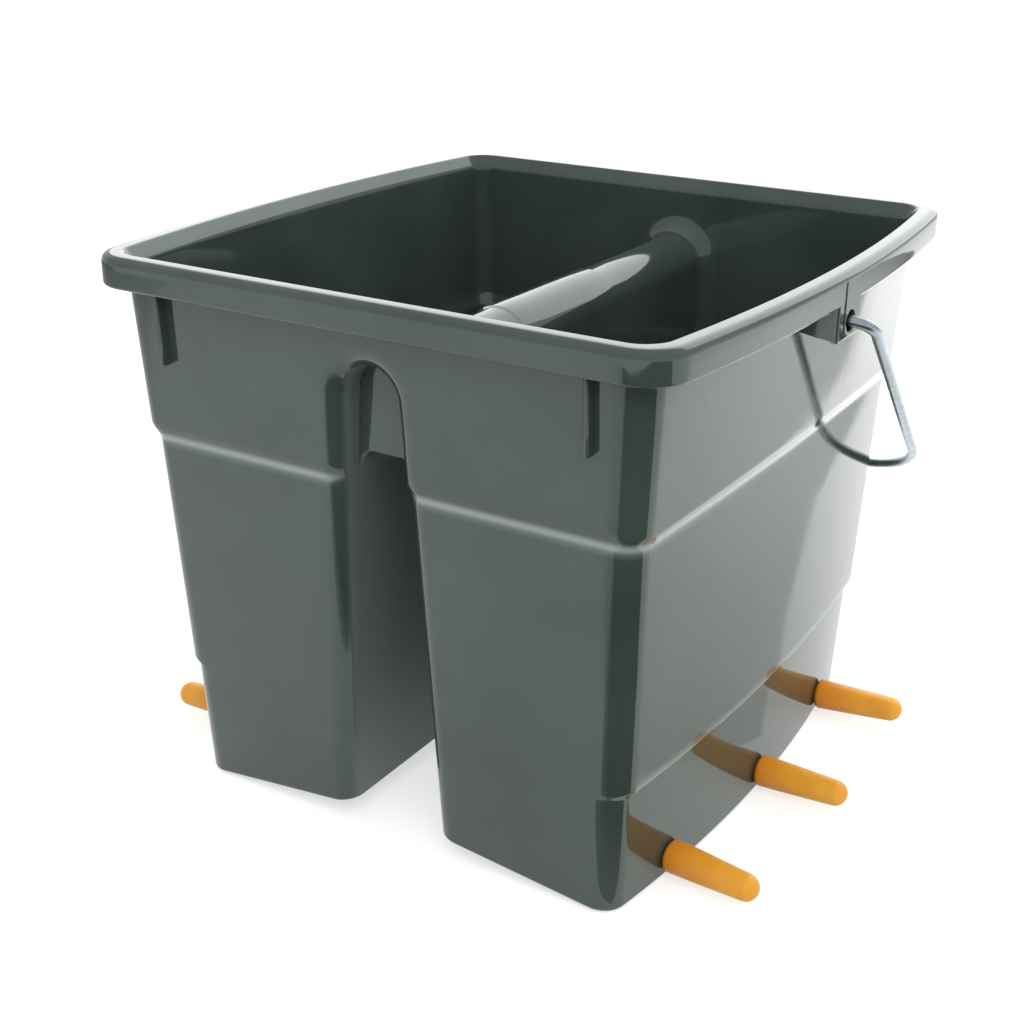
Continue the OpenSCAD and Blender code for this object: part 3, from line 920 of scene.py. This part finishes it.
def amber_latex():
    """Amber latex that is more orange at the shoulder."""
    made, tree, shader, place = finish("amber_latex")
    # Dipped latex is a little darker where it is thicker.
    mottled = tint(tree, speckle(tree, place, 14, 3), "#e79d20", "#f4b336")
    apart = add(tree, "ShaderNodeSeparateXYZ", links={"Vector": place})
    out = add(tree, "ShaderNodeMath", links={0: apart.outputs["X"]}, operation="ABSOLUTE")
    near_wall = add(tree, "ShaderNodeMapRange",
                    {"From Min": SHOULDER_X * MM, "From Max": (SHOULDER_X + SHOULDER_FADE) * MM,
                     "To Min": SHOULDER_SHARE, "To Max": 0.0}, {"Value": out.outputs[0]})
    thick = blend(tree, near_wall.outputs["Result"], mottled, "#dd7a17")
    tree.links.new(thick, shader.inputs["Base Color"])
    tree.links.new(ramp(tree, speckle(tree, place, 5, 4), 0.34, 0.5), shader.inputs["Roughness"])
    # The dusted surface has a fine grain.
    relief(tree, shader, speckle(tree, place, 1.1, 3), 0.12, 0.0002)
    shader.inputs["Subsurface Weight"].default_value = 0.35
    shader.inputs["Subsurface Radius"].default_value = LATEX_DEPTH
    shader.inputs["Subsurface Scale"].default_value = 1.0
    return made


TEAT_LATEX = amber_latex()
print("Finish:", TEAT_LATEX.name, "with", len(TEAT_LATEX.node_tree.nodes), "nodes")

# %% [markdown]
# ## Zinc
# The wire is drawn steel with a bright zinc coat. It is a metal in the shader, so its colour is the
# colour of its reflections, and a middling roughness spreads them along the wire.

# %% Zinc plated wire
def zinc_wire():
    """Bright metal with a faint cloud and very fine scratches."""
    made, tree, shader, place = finish("bright_zinc_wire")
    # Plating leaves a faint cloud of lighter and darker metal.
    cloud = tint(tree, speckle(tree, place, 4, 3), "#98a3a9", "#b0b9be")
    tree.links.new(cloud, shader.inputs["Base Color"])
    tree.links.new(ramp(tree, speckle(tree, place, 1.5, 3), 0.27, 0.31), shader.inputs["Roughness"])
    # Drawing the wire leaves scratches that are very fine.
    relief(tree, shader, speckle(tree, place, 0.7, 2), 0.08, 0.0001)
    shader.inputs["Metallic"].default_value = 1.0
    return made


BAIL_WIRE = zinc_wire()
print("Finish:", BAIL_WIRE.name, "with", len(BAIL_WIRE.node_tree.nodes), "nodes")

# %% [markdown]
# ## Sweeping the wire
# The path becomes a curve object, the tree sweeps it, and the result is kept as a plain mesh. The
# wire is drawn a hair thinner than in the CAD.

# %% Sweep the bail
THINNER = 0.05
WIRE_SIDES = 24


def swept(name, path, thickness, radius, sides, material):
    """Draws the path as a curve, sweeps it with the tree and keeps the result as a plain mesh."""
    curve = bpy.data.curves.new(name + "_path", "CURVE")
    curve.dimensions = "3D"
    spline = curve.splines.new("POLY")
    spline.points.add(len(path) - 1)
    for point, place, thick in zip(spline.points, path, thickness):
        point.co = (*(float(v) * MM for v in place), 1)
        point.radius = float(thick)
    drawn = piece(name + "_path", curve)
    sweep = drawn.modifiers.new("sweep", "NODES")
    sweep.node_group = SWEEP
    inputs = {s.name: s.identifier for s in SWEEP.interface.items_tree if s.in_out == "INPUT"}
    sweep[inputs["Section radius"]] = radius * MM
    sweep[inputs["Section sides"]] = sides
    sweep[inputs["Finish"]] = material
    graph = bpy.context.evaluated_depsgraph_get()
    mesh = bpy.data.meshes.new_from_object(drawn.evaluated_get(graph))
    mesh.name = name
    bpy.data.objects.remove(drawn)
    return piece(name, mesh)


even = [1.0] * len(wire_path)
bail_wire = swept("bail_wire", wire_path, even, WIRE / 2 - THINNER, WIRE_SIDES, BAIL_WIRE)
print("Bail:", len(bail_wire.data.polygons), "faces")

# %% [markdown]
# ## The teats
# Each teat is pulled through its hole from inside, so a bead stays behind the wall and a rounded
# shoulder sits on it outside. It is round all over, so it is the same sweep along a straight axis,
# with the radius changing on the way: bead, neck, shoulder, taper and tip.

# %% The outline of a teat
TEAT_RADIUS = 7.9
TIP_RADIUS = 6.4
# The teat is 0.1 mm shorter than in the CAD, so that it stays inside the CAD model's box.
TEAT_LENGTH = 46.9
TAPER = 1.2
SHOULDER_ROUND = 2.4
NECK_RADIUS = 5.4
BEAD_RADIUS = 7
BEAD_LENGTH = 4
SEAT = 0.3
POINTED = 0.01
# The bead's rounded edge, as distances from its end and below its full radius
BEAD_EDGE = ((0, 1), (0.3, 0.3), (1, 0))


def teat_outline():
    """Distance from the wall and radius, from the bead inside to the tip."""
    inside = -WALL - 2 * SEAT
    outline = [(inside - BEAD_LENGTH, POINTED)]
    outline += [(inside - BEAD_LENGTH + along, BEAD_RADIUS - below) for along, below in BEAD_EDGE]
    outline += [(inside - along, BEAD_RADIUS - below) for along, below in BEAD_EDGE[::-1]]
    outline += [(inside, NECK_RADIUS), (SEAT, NECK_RADIUS)]
    for along, below in rounding(SHOULDER_ROUND, 0, 90, 8):
        outline.append((SEAT + along, TEAT_RADIUS - below))
    start = outline[-1][0]
    stop = TEAT_LENGTH - TIP_RADIUS
    for part in np.linspace(0, 1, 10)[1:-1]:
        radius = TEAT_RADIUS + (TIP_RADIUS - TEAT_RADIUS) * part ** TAPER
        outline.append((start + (stop - start) * part, radius))
    for turn in np.radians(np.linspace(0, 88, 10)):
        outline.append((stop + TIP_RADIUS * math.sin(turn), TIP_RADIUS * math.cos(turn)))
    return outline


teat_line = teat_outline()
print("Teat:", TEAT_LENGTH, "mm long,", len(teat_line), "points along its axis")

# %% [markdown]
# The side walls are swollen, so each teat points straight out of the wall at its own place. Three
# stand in a row on each side, low down, where the floor is lowest.

# %% Sweep the six teats
TEAT_SPACING = 90
TEAT_HEIGHT = 10.6
TEAT_SIDES = 48


def teat_place(side, y):
    """Where a teat's axis meets the wall, and the direction in which it points."""
    half = face_at(TEAT_HEIGHT)
    bulge = bulge_at(TEAT_HEIGHT)
    turn = math.atan(2 * bulge * y / half ** 2)
    x = side_at(TEAT_HEIGHT) + bulge * (1 - (y / half) ** 2)
    return np.array([side * x, y, TEAT_HEIGHT]), np.array([side * math.cos(turn), math.sin(turn), 0])


teats = {}
for side_name, side in (("right", 1), ("left", -1)):
    for place_name, place in (("front", -1), ("middle", 0), ("rear", 1)):
        seat, way = teat_place(side, place * TEAT_SPACING)
        axis = [seat + way * distance for distance, _ in teat_line]
        radii = [radius for _, radius in teat_line]
        node_name = f"teat_{side_name}_{place_name}"
        teats[node_name] = swept("latex_" + node_name, axis, radii, 1.0, TEAT_SIDES, TEAT_LATEX)
print("Teats:", sorted(teats))

# %% [markdown]
# ## Riding on the CAD
# Every piece now takes the place of its CAD node and moves with that node's body: the bail swings
# on its own body, and the teats and the tub stay together.

# %% Tie the pieces to the CAD bodies
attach(feeder_tub, "tub")
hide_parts("feeder_body")
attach(bail_wire, "bail")
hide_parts("bail")
for node_name, teat in teats.items():
    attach(teat, "tub")
    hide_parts(node_name)
print("Pieces tied:", 2 + len(teats))

# %% [markdown]
# ## World and floor
# The photograph shows the feeder on plain white with soft light all round. The world is white to the
# camera and a little darker to everything else. The floor is a pale light table: the camera and the
# reflections see it glow, and it still takes a faint shadow. A curved white sheet is the usual way,
# but its bend could show in the glossy walls.

# %% World and floor
WORLD_LIGHT = 0.8
FLOOR_GLOW = 0.6
FLOOR_HALF = 6.0


def studio_world():
    """A white background that lights the scene a little less than it shows."""
    world = bpy.data.worlds.new("white_studio")
    bpy.context.scene.world = world
    world.use_nodes = True
    tree = world.node_tree
    sky = tree.nodes["Background"]
    sky.inputs["Color"].default_value = linear("#ffffff")
    path = add(tree, "ShaderNodeLightPath")
    strength = add(tree, "ShaderNodeMapRange", {"To Min": WORLD_LIGHT, "To Max": 1.0},
                   {"Value": path.outputs["Is Camera Ray"]})
    tree.links.new(strength.outputs["Result"], sky.inputs["Strength"])


def stage_sheet(name, corners, material):
    """A flat sheet in the scene with one material."""
    mesh = bpy.data.meshes.new(name)
    mesh.from_pydata(corners, [], [tuple(range(len(corners)))])
    mesh.materials.append(material)
    sheet = piece(name, mesh)
    return sheet


def studio_floor():
    """A glowing light table: the camera and reflections see its glow, and it still takes a shadow."""
    made, tree, shader, _ = finish("pale_light_table")
    shader.inputs["Base Color"].default_value = linear("#d2d2d2")
    shader.inputs["Roughness"].default_value = 1.0
    shader.inputs["Specular IOR Level"].default_value = 0.0
    path = add(tree, "ShaderNodeLightPath").outputs
    direct = add(tree, "ShaderNodeMath", operation="ADD",
                 links={0: path["Is Camera Ray"], 1: path["Is Glossy Ray"]})
    seen = add(tree, "ShaderNodeMath", operation="ADD", use_clamp=True,
               links={0: direct.outputs[0], 1: path["Is Transmission Ray"]})
    glow = add(tree, "ShaderNodeMapRange", {"To Min": 0.0, "To Max": FLOOR_GLOW}, {"Value": seen.outputs[0]})
    shader.inputs["Emission Color"].default_value = linear("#ffffff")
    tree.links.new(glow.outputs["Result"], shader.inputs["Emission Strength"])
    corners = [(x * FLOOR_HALF, y * FLOOR_HALF, 0) for x, y in ((-1, -1), (1, -1), (1, 1), (-1, 1))]
    return stage_sheet("studio_floor", corners, made)


studio_world()
print("Stage:", studio_floor().name, "under", bpy.context.scene.world.name)

# %% [markdown]
# ## Lamps
# The key box stands high behind the camera. Reflections don't see it, because no spot of it shows in
# the photograph. One wide box behind the tub draws the bright lines on the rim and the ridge, where
# two would show as two. A narrow one shines straight down on the floor that the right wall mirrors.

# %% Three soft boxes
def softbox(name, place, aim, width, height, watts):
    """A wide area lamp that looks at a point."""
    lamp = bpy.data.lights.new(name, "AREA")
    lamp.shape = "RECTANGLE"
    lamp.size = width
    lamp.size_y = height
    lamp.energy = watts
    made = bpy.data.objects.new(name, lamp)
    made.location = place
    made.rotation_euler = (Vector(aim) - Vector(place)).to_track_quat("-Z", "Y").to_euler()
    made.visible_camera = False
    bpy.context.scene.collection.objects.link(made)
    return made


key_box = softbox("key_box", place=(0.9, -1.2, 1.7), aim=(0, 0, 0.2), width=1.2, height=1.2, watts=14)
key_box.visible_glossy = False
back_box = softbox("back_box", place=(-0.35, 1.65, 1.15), aim=(0, 0, 0.25), width=3.2, height=1.8, watts=32)
floor_box = softbox("floor_box", place=(0.28, 0.75, 0.8), aim=(0.28, 0.75, 0),
                    width=0.6, height=0.8, watts=3.0)
floor_box.data.spread = math.radians(60)
print("Lamps:", [lamp.name for lamp in (key_box, back_box, floor_box)])

# %% [markdown]
# ## Dark cards
# Glossy plastic is as dark as what it mirrors, and in the photograph that seems to be a room. Three
# dark cards that only reflections see lie just above the floor: one towards the camera for the near
# corner, one on the left, and a faint one on the right that ends where the right wall turns pale.

# %% Cards for the reflections
CARD_HEIGHT = 0.002


def dark_card(name, corners, clear, solid):
    """A card that only reflections see. It fades in from the clear point to the solid one."""
    made, tree, shader, place = finish(name)
    shader.inputs["Base Color"].default_value = linear("#202220")
    shader.inputs["Roughness"].default_value = 1.0
    clear, solid = Vector(clear), Vector(solid)
    way = solid - clear
    along = add(tree, "ShaderNodeVectorMath", {1: (way.x, way.y, 0)}, {0: place}, operation="DOT_PRODUCT")
    fade = add(tree, "ShaderNodeMapRange", {"From Min": way.dot(clear), "From Max": way.dot(solid)},
               {"Value": along.outputs["Value"]})
    tree.links.new(fade.outputs["Result"], shader.inputs["Alpha"])
    card = stage_sheet(name, [(x, y, CARD_HEIGHT) for x, y in corners], made)
    card.visible_camera = False
    card.visible_diffuse = False
    card.visible_shadow = False
    return card


near_card = dark_card("near_card",
                      corners=[(0.119, -0.132), (0.112, -0.17), (0.03, -0.3), (-0.12, -0.57), (-0.3, -0.95),
                               (1.3, -0.95), (1.3, -0.3), (0.8, -0.2), (0.6, -0.08), (0.3, -0.08)],
                      clear=(-0.13, -0.57), solid=(-0.03, -0.61))
left_card = dark_card("left_card",
                      corners=[(-0.26, -0.2), (-0.26, 0.3), (-2.5, 0.8), (-2.5, -0.95), (-0.85, -0.95),
                               (-0.6, -0.6)],
                      clear=(-0.26, 0), solid=(-1.6, 0))
right_card = dark_card("right_card",
                       corners=[(0.146, 0.044), (0.193, 0.186), (0.238, 0.382), (0.245, 0.58), (0.3, 1.2),
                                (0.8, 1.2), (0.8, -0.07), (0.2, -0.07)],
                       clear=(0.39, 0.234), solid=(-0.074, 0.43))
print("Cards:", [card.name for card in (near_card, left_card, right_card)])

# %% [markdown]
# ## Camera
# The camera was solved from the tub's own edges in the photograph, so its place, direction and
# focal length are plain numbers here. Setting it by eye would leave every edge a little off.

# %% Camera
CAMERA_PLACE = Vector((384.397, -651.808, 436.273)) * MM
FORWARD = Vector((-0.48562981, 0.78672022, -0.38109707))
UPWARD = Vector((-0.20592181, 0.32073383, 0.92451394))
FOCAL_PIXELS = 1588.38
PHOTO_WIDTH = 1024
SENSOR_WIDTH = 36


def photo_camera():
    """The camera that took the photograph."""
    data = bpy.data.cameras.new("photo_camera")
    data.sensor_fit = "HORIZONTAL"
    data.sensor_width = SENSOR_WIDTH
    data.lens = FOCAL_PIXELS / PHOTO_WIDTH * SENSOR_WIDTH
    data.clip_start = 0.01
    made = bpy.data.objects.new("photo_camera", data)
    right = FORWARD.cross(UPWARD).normalized()
    turn = Matrix((right, UPWARD, -FORWARD)).transposed()
    made.matrix_world = Matrix.Translation(CAMERA_PLACE) @ turn.to_4x4()
    bpy.context.scene.collection.objects.link(made)
    bpy.context.scene.camera = made
    return data.lens


print("Lens:", round(photo_camera(), 2), "mm")
bpy.context.scene.view_settings.view_transform = "Standard"
